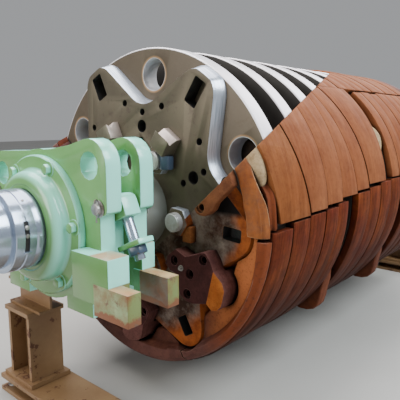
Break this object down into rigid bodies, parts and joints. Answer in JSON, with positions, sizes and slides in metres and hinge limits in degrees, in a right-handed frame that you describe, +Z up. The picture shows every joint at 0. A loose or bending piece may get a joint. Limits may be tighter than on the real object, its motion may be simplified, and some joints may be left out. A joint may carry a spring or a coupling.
{
  "type": "scrap shredder rotor",
  "caption": "Scrap shredder rotor with bare discs, rusty wear caps and swinging hammers on a thick shaft, carried at each end by a green bearing housing on a brown steel stand.",
  "frame": {"origin": "on the floor, under the middle of the drum", "axes": "+Z up, +Y along the shaft from the front end (bare discs) to the rear end, +X to the right seen from the front"},
  "size_m": [1.624, 4.649, 1.762],
  "materials": {
    "bright_steel": "turned and polished",
    "bare_steel": "bare, dull, slightly oxidised",
    "rusty_steel": "rough, rusty and worn",
    "dark_rusty_steel": "rough, dark rust",
    "green_paint": "gloss, rusty on the feet",
    "brown_paint": "matt, scuffed"
  },
  "bodies": {
    "stand": {"housing_front": "green_paint", "housing_rear": "green_paint", "flange_cover_front": "green_paint", "flange_cover_rear": "green_paint", "stand_beam_front": "brown_paint", "stand_column_front": "brown_paint", "stand_base_front": "brown_paint", "stand_beam_rear": "brown_paint", "stand_column_rear": "brown_paint", "stand_base_rear": "brown_paint"},
    "rotor": {"shaft": "bright_steel", "disc_01": "bare_steel", "disc_02": "bare_steel", "disc_03": "bare_steel", "disc_04": "bare_steel", "disc_05": "bare_steel", "disc_06": "bare_steel", "disc_07": "bare_steel", "disc_08": "bare_steel", "disc_09": "bare_steel", "disc_10": "bare_steel", "star_plate_front": "bare_steel", "star_plate_rear": "rusty_steel", "hammer_pin_1": "rusty_steel", "hammer_pin_3": "rusty_steel", "hammer_pin_4": "rusty_steel", "hammer_pin_5": "rusty_steel", "hammer_pin_6": "rusty_steel", "cap_upper_right_front": "rusty_steel", "cap_upper_right_rear": "rusty_steel", "cap_lower_right_front": "rusty_steel", "cap_lower_right_middle": "rusty_steel", "cap_lower_right_rear": "rusty_steel", "cap_bottom": "rusty_steel", "cap_lower_left": "rusty_steel", "cap_upper_left": "rusty_steel", "cap_top_rear": "rusty_steel", "end_ring_front_1": "rusty_steel", "end_ring_front_3": "rusty_steel", "end_ring_front_4": "rusty_steel", "end_ring_front_5": "rusty_steel", "end_ring_front_6": "rusty_steel", "end_ring_rear": "rusty_steel", "pin_plate_1": "dark_rusty_steel", "pin_plate_4": "dark_rusty_steel", "pin_plate_5": "dark_rusty_steel", "pin_plate_6": "dark_rusty_steel"},
    "upper_hammer_middle": {"hammer_upper_5": "rusty_steel"},
    "lower_hammer_front": {"hammer_lower_3": "rusty_steel"},
    "lower_hammer_rear": {"hammer_lower_6": "rusty_steel"},
    "front_right_bolt": {"swing_bolt_front_right": "green_paint"},
    "front_left_bolt": {"swing_bolt_front_left": "green_paint"},
    "rear_right_bolt": {"swing_bolt_rear_right": "green_paint"},
    "rear_left_bolt": {"swing_bolt_rear_left": "green_paint"}
  },
  "joints": [
    {"name": "rotor_spin", "type": "hinge", "parent": "stand", "child": "rotor", "pos_m": [0, 0, 0.95], "axis": [0, 1, 0], "continuous": true},
    {"name": "upper_hammer_middle_swing", "type": "hinge", "parent": "rotor", "child": "upper_hammer_middle", "pos_m": [0.6032, 0.0235, 1.2416], "axis": [0, 1, 0], "range_deg": [-60, 60]},
    {"name": "lower_hammer_front_swing", "type": "hinge", "parent": "rotor", "child": "lower_hammer_front", "pos_m": [0.5541, -0.4865, 0.5734], "axis": [0, 1, 0], "range_deg": [-60, 60]},
    {"name": "lower_hammer_rear_swing", "type": "hinge", "parent": "rotor", "child": "lower_hammer_rear", "pos_m": [0.5541, 0.2785, 0.5734], "axis": [0, 1, 0], "range_deg": [-60, 60]},
    {"name": "front_right_bolt_swing", "type": "hinge", "parent": "stand", "child": "front_right_bolt", "pos_m": [0.39, -1.6965, 1.062], "axis": [0, 1, 0], "range_deg": [-90, 12]},
    {"name": "front_left_bolt_swing", "type": "hinge", "parent": "stand", "child": "front_left_bolt", "pos_m": [-0.39, -1.6965, 1.062], "axis": [0, 1, 0], "range_deg": [-12, 90]},
    {"name": "rear_right_bolt_swing", "type": "hinge", "parent": "stand", "child": "rear_right_bolt", "pos_m": [-0.39, 1.6965, 1.062], "axis": [0, 1, 0], "range_deg": [-12, 90]},
    {"name": "rear_left_bolt_swing", "type": "hinge", "parent": "stand", "child": "rear_left_bolt", "pos_m": [0.39, 1.6965, 1.062], "axis": [0, 1, 0], "range_deg": [-90, 12]}
  ]
}
